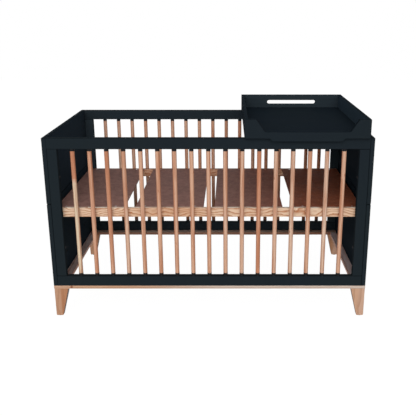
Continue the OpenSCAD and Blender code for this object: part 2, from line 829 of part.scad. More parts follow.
leg(-1, true);  // rear_left_leg
leg(1, true);  // rear_right_leg
glides();  // leg_glides
seam_dowel_set();  // seam_dowels
frame_dowel_set();  // frame_dowels
plinth_dowel_set();  // plinth_dowels
stile_bolt_set();  // stile_bolts
insert_set();  // insert_nuts
leg_screw_set();  // leg_screws
plinth_screw_set();  // plinth_screws
bracket_set();  // base_brackets
bracket_bolt_set();  // bracket_bolts
base_long_rail(false);  // base_front_rail
base_long_rail(true);  // base_rear_rail
base_end_rail(-1);  // base_left_rail
base_end_rail(1);  // base_right_rail
base_panel(0);  // base_panel_1
base_panel(1);  // base_panel_2
base_panel(2);  // base_panel_3
base_panel(3);  // base_panel_4
cleat_set();  // base_cleats
base_dowel_set();  // base_dowels
cleat_screw_set();  // cleat_screws
panel_screw_set();  // panel_screws
tray_front();  // tray_front_board
tray_rear();  // tray_rear_board
tray_side(-1);  // tray_left_board
tray_side(1);  // tray_right_board
floor_of_tray();  // tray_floor
stop_of_tray();  // tray_stop
tray_dowel_set();  // tray_dowels
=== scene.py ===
"""Gives a packed convertible crib its finishes and sets it on a plain pale floor.

Every piece of the crib comes from the frame and stays where it is. The operators give the pieces soft edges
and procedural finishes, piece by piece or by groups of like pieces, and the last one sets up the stage.
"""

import json
import math

import bpy
from bpy.props import FloatProperty, FloatVectorProperty, PointerProperty
from bpy.types import Operator, Panel, PropertyGroup
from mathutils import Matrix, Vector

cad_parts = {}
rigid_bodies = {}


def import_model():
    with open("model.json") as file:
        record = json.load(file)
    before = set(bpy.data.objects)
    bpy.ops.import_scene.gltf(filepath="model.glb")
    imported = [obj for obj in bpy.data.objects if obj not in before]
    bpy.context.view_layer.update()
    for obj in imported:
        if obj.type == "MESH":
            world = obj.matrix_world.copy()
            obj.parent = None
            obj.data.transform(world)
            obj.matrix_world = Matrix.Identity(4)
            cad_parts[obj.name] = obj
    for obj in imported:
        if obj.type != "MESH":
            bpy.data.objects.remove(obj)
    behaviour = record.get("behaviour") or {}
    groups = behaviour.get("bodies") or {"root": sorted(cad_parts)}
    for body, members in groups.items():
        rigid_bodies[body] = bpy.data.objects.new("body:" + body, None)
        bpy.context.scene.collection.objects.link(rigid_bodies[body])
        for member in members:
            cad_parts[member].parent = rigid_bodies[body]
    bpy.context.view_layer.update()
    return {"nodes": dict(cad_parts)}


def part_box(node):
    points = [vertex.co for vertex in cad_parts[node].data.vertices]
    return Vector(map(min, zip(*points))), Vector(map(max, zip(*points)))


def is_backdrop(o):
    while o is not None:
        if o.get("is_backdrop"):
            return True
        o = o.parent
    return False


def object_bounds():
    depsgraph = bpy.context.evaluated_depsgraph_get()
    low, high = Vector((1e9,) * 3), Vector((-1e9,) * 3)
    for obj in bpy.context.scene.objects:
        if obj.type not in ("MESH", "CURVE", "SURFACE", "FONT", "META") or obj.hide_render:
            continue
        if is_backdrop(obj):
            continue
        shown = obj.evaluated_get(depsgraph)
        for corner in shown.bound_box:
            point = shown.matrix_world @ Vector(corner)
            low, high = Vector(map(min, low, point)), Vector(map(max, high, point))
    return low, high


bl_info = {
    "name": "Convertible Crib Finishes",
    "version": (1, 0, 0),
    "blender": (4, 5, 0),
    "location": "View3D > Sidebar > Crib",
    "description": "Finishes and stage for a black crib with wooden bars and a changing tray",
    "category": "Object",
}

# The startup file's own objects go before the crib comes.
for leftover in list(bpy.data.objects):
    bpy.data.objects.remove(leftover)
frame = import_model()

MM = 0.001
WHITE = (1.0, 1.0, 1.0)

# How many bars each ladder frame has.
BARS = 17

# For wood that is grained along an axis, the indices of that axis, the one across the grain and the one into
# the wood.
GRAIN_AXES = {"X": (0, 1, 2), "Y": (1, 0, 2), "Z": (2, 0, 1)}

# The limits, as modifiers take them, for closing seams, for joining flat triangles and for finding edges.
SEAM = 0.01 * MM
FLAT = math.radians(0.5)
SHARP = math.radians(40)

# Rays that find a white background: from the camera, and by way of metal or glass.
WHITE_TO = ("Is Camera Ray", "Is Glossy Ray", "Is Transmission Ray")

# Width of the camera's frame in millimetres.
SENSOR = 36.0


class Wire:
    """A socket in a node tree. Python's operators on it add the Math and Vector Math nodes."""

    def __init__(self, nodes, socket):
        self.nodes = nodes
        self.socket = socket

    def is_vector(self):
        return self.socket.type in {"VECTOR", "RGBA"}

    def joined(self, operation, first, second):
        vectors = [part for part in (first, second) if isinstance(part, Wire) and part.is_vector()]
        kind = "ShaderNodeVectorMath" if vectors else "ShaderNodeMath"
        return self.nodes.node(kind, {"operation": operation}, {0: first, 1: second})

    def __add__(self, other):
        return self.joined("ADD", self, other)

    def __radd__(self, other):
        return self.joined("ADD", other, self)

    def __sub__(self, other):
        return self.joined("SUBTRACT", self, other)

    def __rsub__(self, other):
        return self.joined("SUBTRACT", other, self)

    def __mul__(self, other):
        return self.joined("MULTIPLY", self, other)

    def __truediv__(self, other):
        return self.joined("DIVIDE", self, other)

    def __pow__(self, other):
        return self.joined("POWER", self, other)


class Nodes:
    """A node tree under construction."""

    def __init__(self, tree):
        self.tree = tree

    def node(self, kind, settings=None, inputs=None, out=0):
        """Adds a node of a type: its settings first, then values or links for its sockets.

        Gives the output that out names, or a list where out is a tuple of names.
        """
        made = self.tree.nodes.new(kind)
        for key, value in (settings or {}).items():
            if key == "stops":
                self.fill_ramp(made.color_ramp, value)
            elif key == "levels":
                self.fill_curve(made.mapping.curves[0], value)
            else:
                setattr(made, key, value)
        for key, value in (inputs or {}).items():
            self.plug(made.inputs[key], value)
        if isinstance(out, tuple):
            return [Wire(self, made.outputs[key]) for key in out]
        return Wire(self, made.outputs[out])

    def plug(self, socket, value):
        """Gives a socket a link, a colour of three parts, a vector or a number."""
        if isinstance(value, Wire):
            self.tree.links.new(value.socket, socket)
        elif socket.type == "RGBA":
            socket.default_value = (*value, 1.0)
        elif socket.type == "VECTOR" and not hasattr(value, "__len__"):
            socket.default_value = (value, value, value)
        else:
            socket.default_value = value

    def fill_ramp(self, ramp, stops):
        """Stops are (place, grey level or colour)."""
        while len(ramp.elements) < len(stops):
            ramp.elements.new(0.5)
        for element, (place, tone) in zip(ramp.elements, stops):
            element.position = place
            tone = tone if hasattr(tone, "__len__") else (tone, tone, tone)
            element.color = (*tone, 1.0)

    def fill_curve(self, curve, levels):
        """Levels are the heights at the curve's start, middle and end."""
        curve.points.new(0.5, levels[1])
        for point, level in zip(curve.points, levels):
            point.location[1] = level

    def split(self, vector):
        return self.node("ShaderNodeSeparateXYZ", None, {0: vector}, out=("X", "Y", "Z"))

    def join(self, x, y, z):
        return self.node("ShaderNodeCombineXYZ", None, {0: x, 1: y, 2: z})

    def seen_white(self, value):
        """The value, but 1 for the rays that find a white background."""
        for ray in self.node("ShaderNodeLightPath", out=WHITE_TO):
            value = self.node("ShaderNodeMath", {"operation": "MAXIMUM"}, {0: value, 1: ray})
        return value


class Shader(Nodes):
    """A material under construction."""

    def __init__(self, name):
        self.material = bpy.data.materials.new(name)
        self.material.use_nodes = True
        super().__init__(self.material.node_tree)
        self.surface = self.tree.nodes["Principled BSDF"]

    def place(self):
        """A point of the surface in the crib's own frame, in metres."""
        return self.node("ShaderNodeTexCoord", out="Object")

    def normal(self):
        """The X, Y and Z of where the surface looks, in the crib's own frame."""
        return self.split(self.node("ShaderNodeTexCoord", out="Normal"))

    def noise(self, vector, scale=1.0, detail=2.0, roughness=0.5):
        inputs = {"Vector": vector, "Scale": scale, "Detail": detail, "Roughness": roughness}
        return self.node("ShaderNodeTexNoise", {"noise_dimensions": "3D"}, inputs)

    def ramp(self, value, stops):
        return self.node("ShaderNodeValToRGB", {"stops": stops}, {0: value})

    def level(self, value, stops):
        """A grey ramp, as a number."""
        return self.node("ShaderNodeRGBToBW", None, {0: self.ramp(value, stops)})

    def rise(self, value, low, high):
        """0 below low and 1 above high, smooth between them."""
        inputs = {"Value": value, "From Min": low, "From Max": high}
        return self.node("ShaderNodeMapRange", {"interpolation_type": "SMOOTHSTEP"}, inputs)

    def mix(self, factor, first, second):
        return self.node("ShaderNodeMix", {"data_type": "RGBA"}, {0: factor, 6: first, 7: second}, out=2)

    def multiply(self, first, second):
        """Two colours, part by part."""
        return self.node("ShaderNodeVectorMath", {"operation": "MULTIPLY"}, {0: first, 1: second})

    def shade(self, tone, factor):
        """The colour made darker or lighter by a factor that varies."""
        return self.multiply(tone, self.join(factor, factor, factor))

    def tint(self, tone, factor, filter_colour):
        """The colour seen through a filter, where the factor is 1."""
        return self.multiply(tone, self.mix(factor, WHITE, filter_colour))

    def filtered(self, tone, filters):
        """The colour seen through the filters of the faces. Each is an axis, a sign and a colour."""
        for axis, sign, filter_colour in filters:
            tone = self.tint(tone, self.facing(axis, sign), filter_colour)
        return tone

    def fraction(self, value):
        return self.node("ShaderNodeMath", {"operation": "FRACT"}, {0: value})

    def floor(self, value):
        return self.node("ShaderNodeMath", {"operation": "FLOOR"}, {0: value})

    def below(self, value, limit):
        """1 where the value is under the limit and 0 elsewhere."""
        return self.node("ShaderNodeMath", {"operation": "LESS_THAN"}, {0: value, 1: limit})

    def chance(self, value):
        """A number from 0 to 1 that differs for each whole value."""
        return self.node("ShaderNodeTexWhiteNoise", {"noise_dimensions": "1D"}, {"W": value})

    def distance(self, vector, point):
        return self.node("ShaderNodeVectorMath", {"operation": "DISTANCE"}, {0: vector, 1: point}, out=1)

    def edge(self):
        """1 on the soft edges, which look along none of the crib's axes, and 0 on the flat faces."""
        x, y, z = self.normal()
        # 0 where the surface looks along an axis, and 0.5 halfway between two.
        off_axis = 1.0 - (x ** 4.0 + y ** 4.0 + z ** 4.0)
        return self.rise(off_axis, 0.05, 0.20)

    def facing(self, axis, sign):
        """1 on faces that look along an axis of the crib and 0 on the others."""
        toward = self.normal()["XYZ".index(axis)]
        return self.rise(toward * sign, 0.5, 0.8)

    def bump(self, height, depth):
        return self.node("ShaderNodeBump", None, {"Height": height, "Distance": depth, "Strength": 1.0})

    def finish(self, tone, roughness, height, depth, **fixed):
        """Feeds the surface. Fixed values go straight to its sockets."""
        self.plug(self.surface.inputs["Base Color"], tone)
        self.plug(self.surface.inputs["Roughness"], roughness)
        self.plug(self.surface.inputs["Normal"], self.bump(height, depth))
        for key, value in fixed.items():
            self.surface.inputs[key.replace("_", " ")].default_value = value
        return self.material


def colour(name, about, value):
    """A colour that the user can set."""
    return FloatVectorProperty(
        name=name, description=about, subtype="COLOR", size=3, min=0, max=1, default=value)


def radius(name, about, value, low, high):
    """A radius that the user can set, given in millimetres and held in metres."""
    return FloatProperty(
        name=name, description=about, unit="LENGTH", default=value * MM, min=low * MM, max=high * MM)


def spot(name, about, value):
    """A place that the user can set, in metres."""
    return FloatVectorProperty(name=name, description=about, subtype="TRANSLATION", size=3, default=value)


class CribColours(PropertyGroup):
    """The colours of the finishes, with filters that paint light and shade on some faces."""

    lacquer: colour("Lacquer", "Black lacquer of the body and the tray", (0.0158, 0.0222, 0.0262))
    lacquer_cloud: colour(
        "Lacquer cloud", "Bluer tone that drifts through the lacquer", (0.0154, 0.0216, 0.0272))
    # Painted light and shade: a cooler filter for the lacquer's inner and top faces, darker, or lighter where
    # it is scaled over 1.
    lacquer_painted_light: colour(
        "Lacquer shade", "Cooler filter over the lacquer's inner and top faces", (0.82, 0.90, 1.0))
    bar_pale: colour("Pale bar", "Palest wood of the bars", (0.74, 0.54, 0.41))
    bar_beige: colour("Beige bar", "Yellower wood of the first bar", (0.75, 0.60, 0.43))
    bar_tan: colour("Tan bar", "Usual wood of the bars", (0.68, 0.405, 0.275))
    bar_red: colour("Red bar", "Reddest wood of the bars", (0.59, 0.265, 0.155))
    # This darker wood also serves as painted shade on the bars' sides.
    bar_streak_and_shade: colour("Bar streak", "Darker wood that runs along the bars", (0.48, 0.19, 0.10))
    bar_vein: colour("Bar vein", "Dark veins and flecks in the bars", (0.34, 0.08, 0.03))
    # Painted shadow of the base, over the rear bars' lower ends.
    bar_base_shadow: colour(
        "Bar shade", "Filter over the inner side of the rear bars' lower ends", (0.40, 0.28, 0.22))
    plinth_light: colour("Light plinth", "Light wood of the plinth and legs", (0.62, 0.38, 0.25))
    plinth_deep: colour("Deep plinth", "Deeper wood of the plinth and legs", (0.50, 0.25, 0.125))
    plinth_vein: colour("Plinth vein", "Growth lines of the plinth and legs", (0.34, 0.15, 0.075))
    knot: colour("Knot", "Knot at the left end of the plinth", (0.20, 0.045, 0.012))
    plinth_grey: colour("Grey plinth", "Paler board that makes up most of the plinth", (0.675, 0.59, 0.52))
    plinth_dusty: colour("Dusty plinth", "Deeper tone of the plinth's paler boards", (0.59, 0.47, 0.385))
    leg_tan: colour("Tan leg", "Outer part of the left legs", (0.54, 0.32, 0.205))
    leg_amber: colour("Amber leg", "Inner part of the left legs", (0.46, 0.215, 0.105))
    leg_amber_deep: colour("Deep amber leg", "Deeper tone of the left legs", (0.41, 0.165, 0.07))
    leg_pink: colour("Pink leg", "Outer part of the right legs", (0.61, 0.39, 0.28))
    # Painted shade on the legs' inner faces.
    leg_painted_shade: colour("Leg shade", "Filter over the inner faces of the legs", (0.16, 0.10, 0.11))
    # Painted light and shade on the plinth: darker inner faces, and lighter, cooler tops of the side rails.
    side_painted_shade: colour(
        "Side shade", "Filter over the inner faces of the plinth's side rails", (0.95, 0.58, 0.45))
    side_top_painted_light: colour(
        "Side rails' top", "Filter over the tops of the plinth's side rails", (0.83, 0.86, 1.0))
    rear_painted_shade: colour(
        "Rear shade", "Filter over the inner face of the plinth's rear rail", (0.54, 0.32, 0.24))
    base_light: colour("Light base", "Early wood of the base's rails", (0.90, 0.70, 0.51))
    base_deep: colour("Deep base", "Middle tone of the base's rails", (0.73, 0.47, 0.30))
    base_vein: colour("Base vein", "Late wood of the base's rails", (0.44, 0.155, 0.055))
    # Painted highlight on the top of the base's front rail.
    front_top_highlight: colour(
        "Front rail's top", "Filter over the pale top of the base's front rail", (0.72, 0.86, 1.0))
    # Painted shade on the top and the inner face of the base's rear rail.
    rear_top_painted_shade: colour(
        "Rear rail's top", "Filter over the stained top of the base's rear rail", (0.30, 0.22, 0.20))
    rear_face_painted_shade: colour(
        "Rear rail's face", "Filter over the inner face of the base's rear rail", (0.75, 0.60, 0.55))
    # The left tone of the hardboard holds a painted sheen, the right one the tray's painted shadow.
    board_left_and_sheen: colour(
        "Left hardboard", "Face of the base's panels at the left, where it catches light",
        (0.295, 0.162, 0.138))
    board_right_and_shadow: colour("Right hardboard", "Face of the base's panels at the right", (0.305, 0.092, 0.047))
    board_speck: colour("Hardboard speck", "Lighter chips pressed into the hardboard", (0.42, 0.26, 0.18))
    dowel: colour("Dowel", "Raw wood of the dowels", (0.68, 0.50, 0.32))
    cap: colour("Cap", "Black caps at the ends of the bars", (0.008, 0.008, 0.009))
    glide: colour("Glide", "Glides under the legs", (0.05, 0.045, 0.04))
    black_steel: colour("Black steel", "Brackets and bolts", (0.02, 0.02, 0.022))
    zinc: colour("Zinc", "Screws", (0.55, 0.55, 0.57))
    brass: colour("Brass", "Threaded inserts, dull with age", (0.018, 0.016, 0.012))


class CribEdges(PropertyGroup):
    """The softening of the edges."""

    panel: radius("Panel edges", "Radius on the end panels and ladder frames", 1.8, 0.2, 4.0)
    tray: radius("Tray edges", "Radius on the tray's boards", 1.6, 0.2, 4.0)
    slot: radius("Slotted board's edges", "Radius on the tray's board with the hand slot", 0.5, 0.1, 2.0)
    timber: radius("Timber edges", "Radius on the plinth, legs and base rails", 1.5, 0.2, 4.0)
    board: radius("Hardboard edges", "Radius on the thin panels", 0.5, 0.1, 1.5)


class CribStage(PropertyGroup):
    """The floor, the light and the camera."""

    floor: FloatProperty(
        name="Floor", description="Half the width of the floor", unit="LENGTH", default=9.0)
    floor_glow: FloatProperty(
        name="Floor glow", description="Level at which the camera sees the bare floor", default=1.07)
    floor_clean: FloatProperty(
        name="Clean floor", description="Share of that glow, the rest being floor that takes the shadow",
        subtype="FACTOR", default=0.91)
    front_sky: FloatProperty(
        name="Front sky", description="Level of the surrounding light in front", default=0.86)
    side_sky: FloatProperty(
        name="Side sky", description="Level of the surrounding light at the sides", default=0.36)
    back_sky: FloatProperty(
        name="Back sky", description="Level of the surrounding light behind", default=0.46)
    key_place: spot("Key light's place", "Where the broad light from the front stands", (-0.3, -4.6, 2.9))
    key_spread: FloatProperty(
        name="Key light's spread", description="How wide the broad light is, seen from the crib",
        subtype="ANGLE", default=math.radians(50.0))
    key: FloatProperty(
        name="Key light", description="Strength of the broad light from the front", default=1.22)
    fill_place: spot("Fill light's place", "Where the light at the front left stands", (-2.6, -4.0, 1.8))
    fill_size: FloatProperty(
        name="Fill light's size", description="Width of the light at the front left", unit="LENGTH",
        default=1.6)
    fill: FloatProperty(
        name="Fill light", description="Power of the light at the front left", unit="POWER", default=12.0)
    eye: spot("Camera", "Place of the camera", (0.0878, -2.9042, 1.2924))
    tilt: FloatProperty(
        name="Tilt", description="Tilt of the camera from straight down", subtype="ANGLE",
        default=math.radians(72.57))
    lens: FloatProperty(
        name="Lens", description="Focal length of the camera, whose frame is 36 mm wide", unit="CAMERA",
        default=55.48)
    shift: FloatProperty(name="Shift", description="Sideways shift of the frame", default=-0.0527)


def looks():
    """The colours as they are set in the scene."""
    return bpy.context.scene.crib_colours


def edges():
    """The radii as they are set in the scene."""
    return bpy.context.scene.crib_edges


def scaled(tone, level):
    """A colour times a level. A filter made with a level over 1 lightens."""
    return tuple(part * level for part in tone)


def bar_layout(node):
    """Distance between the bars of one ladder frame, and the X of the first."""
    low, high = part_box(node)
    diameter = high.y - low.y
    return (high.x - low.x - diameter) / (BARS - 1), low.x + diameter / 2


def soften(node, edge_radius, segments=2, whole=True):
    """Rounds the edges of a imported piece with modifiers, which leave its own mesh alone.

    whole joins the triangles of each flat face first. A face with a hole in it doesn't take that.
    """
    piece = frame["nodes"][node]
    piece.data.polygons.foreach_set("use_smooth", [False] * len(piece.data.polygons))
    weld = piece.modifiers.new("close_seams", "WELD")
    weld.merge_threshold = SEAM
    if whole:
        flatten = piece.modifiers.new("whole_faces", "DECIMATE")
        flatten.decimate_type = "DISSOLVE"
        flatten.angle_limit = FLAT
    bevel = piece.modifiers.new("soft_edges", "BEVEL")
    bevel.width = edge_radius
    bevel.segments = segments
    bevel.limit_method = "ANGLE"
    bevel.angle_limit = SHARP
    bevel.use_clamp_overlap = False


def coat(nodes, material):
    """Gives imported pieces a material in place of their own."""
    for node in nodes:
        slots = frame["nodes"][node].data.materials
        slots.clear()
        slots.append(material)


def lacquer(name, seed, filters):
    """Satin black paint on fibreboard, with the faint peel that a spray gun leaves.

    It is darker on the edges, a painted shade for the dark seams between the pieces. The filters, as
    Shader.filtered takes them, paint light and shade on some faces.
    """
    s = Shader(name)
    tones = looks()
    at = s.place() + seed
    cloud = s.rise(s.noise(at, scale=2.2, detail=3.0), 0.35, 0.65)
    paint = s.filtered(s.mix(cloud, tones.lacquer, tones.lacquer_cloud), filters)
    # Painted shade: the soft edges are darkened, standing for the dark seams where pieces meet.
    edge_shade = 0.45
    paint = s.shade(paint, 1.0 - s.edge() * edge_shade)
    peel = s.noise(at, scale=420.0)
    rough = 0.46 + s.noise(at, scale=9.0, detail=4.0) * 0.12
    return s.finish(paint, rough, peel, 0.05 * MM, Specular_IOR_Level=0.0004)


def timber(name, axis, seed, tones, lines, swing, bold=0.55, ripples=0.35, knots=(), second=None, filters=()):
    """Planed wood with its grain along one axis of the crib. Its tones are light wood, deep wood and veins.

    lines is how many growth lines cross a metre, swing how far they wander, in lines, ripples how far they
    shake, in lines too, and bold how dark they are.
    Each knot is a place and a radius in metres. second is another tone with the X where it starts and the X
    where it is full, for pieces glued up from two boards. The filters are as Shader.filtered takes them.
    """
    s = Shader(name)
    light, deep, vein = tones
    at = s.place()
    xyz = s.split(at)
    along, across, deep_in = (xyz[i] for i in GRAIN_AXES[axis])
    # Growth lines: ring goes from 0 in the early wood of a year to 1 in the late wood.
    wander = s.noise(s.join(along * 7.0 + seed, across * 14.0, deep_in * 14.0), detail=1.5)
    ripple = s.noise(s.join(along * 26.0, across * 60.0 + seed, deep_in * 60.0))
    growth = (across * 0.45 + deep_in) * lines + wander * (2 * swing) + ripple * ripples
    ring = s.level(s.fraction(growth), [(0.0, 0.10), (0.45, 0.22), (0.78, 0.75), (0.90, 1.0), (1.0, 0.10)])
    fibre = s.noise(s.join(along * 12.0, across * 620.0, deep_in * 620.0 + seed), detail=3.0, roughness=0.6)
    patch = s.noise(s.join(along * 2.2 + seed, across * 9.0, deep_in * 9.0))
    wood = s.mix(s.rise(patch, 0.36, 0.66), light, deep)
    if second:
        tone, start, full = second
        wood = s.mix(s.rise(xyz[0], start, full) * 0.85, wood, tone)
    wood = s.mix(ring * bold, wood, vein)
    wood = s.mix(s.rise(fibre, 0.55, 0.80) * 0.45, wood, vein)
    for place, knot_radius in knots:
        near = 1.0 - s.rise(s.distance(at, place), knot_radius * 0.35, knot_radius)
        wood = s.mix(near * 0.85, wood, looks().knot)
    wood = s.filtered(wood, filters)
    rough = 0.42 + fibre * 0.22
    height = ring * 0.5 + fibre
    return s.finish(wood, rough, height, 0.06 * MM, Specular_IOR_Level=0.3)


def bar_wood(name, node, seed, two_toned=False, base_shadowed=False):
    """Turned bars. Each bar has its own tone and flecks, and some change tone along their length.

    two_toned makes the first bar of two lengths, red above and beige below. The last argument paints the
    base's shadow on the inner side of the bars, towards their lower ends.
    """
    s = Shader(name)
    tones = looks()
    pitch, first = bar_layout(node)
    x, y, z = s.split(s.place())
    number = s.floor((x - first) / pitch + 0.5)
    across = x - number * pitch
    own = s.chance(number + seed)
    slow = s.noise(s.join(number * 7.3, y * 8.0, z * 2.6), detail=1.0)
    # The tone goes from 0 for red wood to 1 for beige.
    tone = own * 0.85 + slow * 0.8 - 0.325
    if two_toned:
        beige_top, red_bottom = 0.600, 0.625
        lengths = 1.0 - s.rise(z, beige_top, red_bottom) * 0.95
        tone = tone + s.below(number, 0.5) * (lengths - tone)
    wood = s.ramp(tone, [(0.08, tones.bar_red), (0.38, tones.bar_tan), (0.55, tones.bar_tan),
                         (0.97, tones.bar_pale), (1.0, tones.bar_beige)])
    shift = number * 5.1
    streak = s.noise(s.join(z * 4.5 + shift, across * 125.0, y * 60.0), detail=1.0)
    wood = s.mix(s.rise(streak, 0.47, 0.58) * 0.60, wood, tones.bar_streak_and_shade)
    # Painted shade: the bars get darker towards their sides, as round bars do under light from the front.
    sideways, rearward, _ = s.normal()
    wood = s.mix(s.rise(sideways * sideways, 0.10, 0.80) * 0.45, wood, tones.bar_streak_and_shade)
    fibre = s.noise(s.join(z * 14.0 + shift, across * 900.0, y * 900.0))
    wood = s.mix(s.rise(fibre, 0.56, 0.74) * 0.55, wood, tones.bar_vein)
    fleck = s.noise(s.join(z * 22.0 + shift, across * 60.0, y * 60.0), detail=1.0)
    wood = s.mix(s.rise(fleck, 0.72, 0.79) * 0.80, wood, tones.bar_vein)
    if base_shadowed:
        # Painted shadow of the base on the inner side of the rear bars' lower ends.
        dark_top, clear_bottom = 0.24, 0.44
        inner_side = 1.0 - s.rise(rearward, -0.4, 0.2)
        lower_end = 1.0 - s.rise(z, dark_top, clear_bottom)
        wood = s.tint(wood, inner_side * lower_end, tones.bar_base_shadow)
    return s.finish(wood, 0.50 + fibre * 0.16, fibre, 0.05 * MM, Specular_IOR_Level=0.08)


def hardboard(name, seed):
    """Pressed board with a smooth brown face, clouded and faintly fibrous.

    It goes from a tone with a painted sheen at the left to one with the tray's painted shadow at the right,
    and painted shade makes it darker towards the rear.
    """
    s = Shader(name)
    tones = looks()
    here = s.place()
    x, y, _ = s.split(here)
    at = here + seed
    along, across, deep_in = s.split(at)
    cloud = s.rise(s.noise(at, scale=22.0, detail=3.0, roughness=0.6), 0.36, 0.64)
    fluff = s.noise(at, scale=700.0, detail=3.0, roughness=0.7)
    fibres = s.noise(s.join(along * 48.0, across * 30.0, deep_in), detail=4.0, roughness=0.7)
    specks = s.noise(s.join(along * 130.0, across * 60.0, deep_in), roughness=0.6)
    # Painted light and shadow: the left tone holds a painted sheen, the right one the tray's painted shadow.
    left_ends, right_starts = 0.02, 0.50
    brown = s.mix(s.rise(x, left_ends, right_starts), tones.board_left_and_sheen, tones.board_right_and_shadow)
    mottle = 0.76 + fluff * 0.08 + cloud * 0.20 + s.rise(fibres, 0.34, 0.66) * 0.20
    # Painted shade: the board gets darker towards the rear.
    front, rear = -0.36, 0.42
    light = 1.12 - s.rise(y, front, rear) * 0.38
    brown = s.shade(brown, mottle * light)
    brown = s.mix(s.rise(specks, 0.58, 0.72) * 0.40, brown, tones.board_speck)
    return s.finish(brown, 0.50 + cloud * 0.12, fluff, 0.08 * MM, Specular_IOR_Level=0.01)


def plain_wood(name, tone):
    """Raw wood of small turned pieces."""
    s = Shader(name)
    fibre = s.noise(s.place() * 400.0, detail=3.0)
    return s.finish(s.shade(tone, 0.85 + fibre * 0.3), 0.6 + fibre * 0.2, fibre, 0.05 * MM)


def plastic(name, tone, roughness):
    """Moulded plastic with a fine grain."""
    s = Shader(name)
    grain = s.noise(s.place(), scale=1200.0)
    tone = s.shade(tone, 0.85 + grain * 0.3)
    return s.finish(tone, roughness + grain * 0.1, grain, 0.03 * MM, Specular_IOR_Level=0.15)


def metal(name, tone, roughness, bare):
    """Metal with fine scuffs. bare is 1 for plated metal and 0 for coated or dull metal."""
    s = Shader(name)
    scuff = s.noise(s.place(), scale=260.0, detail=4.0, roughness=0.65)
    tone = s.shade(tone, 0.85 + scuff * 0.3)
    return s.finish(tone, roughness + scuff * 0.2, scuff, 0.02 * MM,
                    Metallic=bare, Specular_IOR_Level=0.02 + 0.48 * bare)


class CribOperator:
    """What the operators of the crib share."""

    bl_options = {"REGISTER", "UNDO"}


class CRIB_OT_end_panels(CribOperator, Operator):
    """Finish both halves of the two end panels"""

    bl_idname = "crib.end_panels"
    bl_label = "End Panels"

    def execute(self, context):
        shade = looks().lacquer_painted_light
        # For each side, the way inward along X and the levels of the painted light on its inner faces.
        sides = {"left": (1.0, {"upper": 1.8, "lower": 1.5}), "right": (-1.0, {"upper": 1.5, "lower": 1.2})}
        for side, (inward, levels) in sides.items():
            for half, level in levels.items():
                name = f"{side}_end_{half}"
                soften(name, edges().panel)
                inner_face = ("X", inward, scaled(shade, level))
                coat([name], lacquer(f"{name}_lacquer", seed=inward, filters=[inner_face]))
        return {"FINISHED"}


class CRIB_OT_ladder_frames(CribOperator, Operator):
    """Finish the rails and stiles of the front and rear frames"""

    bl_idname = "crib.ladder_frames"
    bl_label = "Ladder Frames"

    def execute(self, context):
        # Painted light: how much lighter the rear frame's inner faces are painted than the rest.
        levels = {("top_rail", "bottom_rail"): 1.3, ("left_stile", "right_stile"): 1.9}
        for parts, level in levels.items():
            inner_face = ("Y", -1.0, scaled(WHITE, level))
            for order, (face, filters) in enumerate((("front", []), ("rear", [inner_face]))):
                names = [f"{face}_{part}" for part in parts]
                for name in names:
                    soften(name, edges().panel)
                coat(names, lacquer(f"{face}_lacquer", seed=3.1 + order, filters=filters))
        return {"FINISHED"}


class CRIB_OT_bars(CribOperator, Operator):
    """Finish the wooden bars and their black caps"""

    bl_idname = "crib.bars"
    bl_label = "Bars and Caps"

    def execute(self, context):
        coat(["front_bars"], bar_wood("front_bar_wood", "front_bars", seed=148111.8, two_toned=True))
        coat(["rear_bars"], bar_wood("rear_bar_wood", "rear_bars", seed=190267.6, base_shadowed=True))
        coat(["front_ferrules", "rear_ferrules"], plastic("cap_plastic", looks().cap, roughness=0.42))
        return {"FINISHED"}


class CRIB_OT_plinth(CribOperator, Operator):
    """Finish the four rails of the wooden plinth"""

    bl_idname = "crib.plinth"
    bl_label = "Plinth"

    def execute(self, context):
        tones = looks()
        tan = (tones.plinth_light, tones.plinth_deep, tones.plinth_vein)
        grey = (tones.plinth_grey, tones.plinth_dusty, tones.plinth_vein)
        low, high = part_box("plinth_front_rail")
        from_end, above_middle, knot_radius = 76.5 * MM, 1.0 * MM, 8.5 * MM
        knot = ((low.x + from_end, low.y, (low.z + high.z) / 2 + above_middle), knot_radius)
        grey_starts, grey_full = -0.45, 0.10
        # Painted light on the side rails' tops, lighter and cooler, and painted shade on the inner faces of
        # the side and rear rails.
        side_top_painted_light = ("Z", 1.0, scaled(tones.side_top_painted_light, 1.45))
        rails = {
            "front": ("X", tan, {"knots": [knot], "second": (tones.plinth_grey, grey_starts, grey_full)}),
            "rear": ("X", grey, {"filters": [("Y", -1.0, tones.rear_painted_shade)]}),
            "left": ("Y", grey, {"filters": [("X", 1.0, tones.side_painted_shade), side_top_painted_light]}),
            "right": ("Y", grey, {"filters": [("X", -1.0, tones.side_painted_shade), side_top_painted_light]}),
        }
        for order, (part, (axis, woods, special)) in enumerate(rails.items()):
            name = f"plinth_{part}_rail"
            soften(name, edges().timber)
            seed = 11.0 + 5 * order
            coat([name], timber(f"{name}_wood", axis, seed, woods, lines=75.0, swing=0.8, **special))
        return {"FINISHED"}


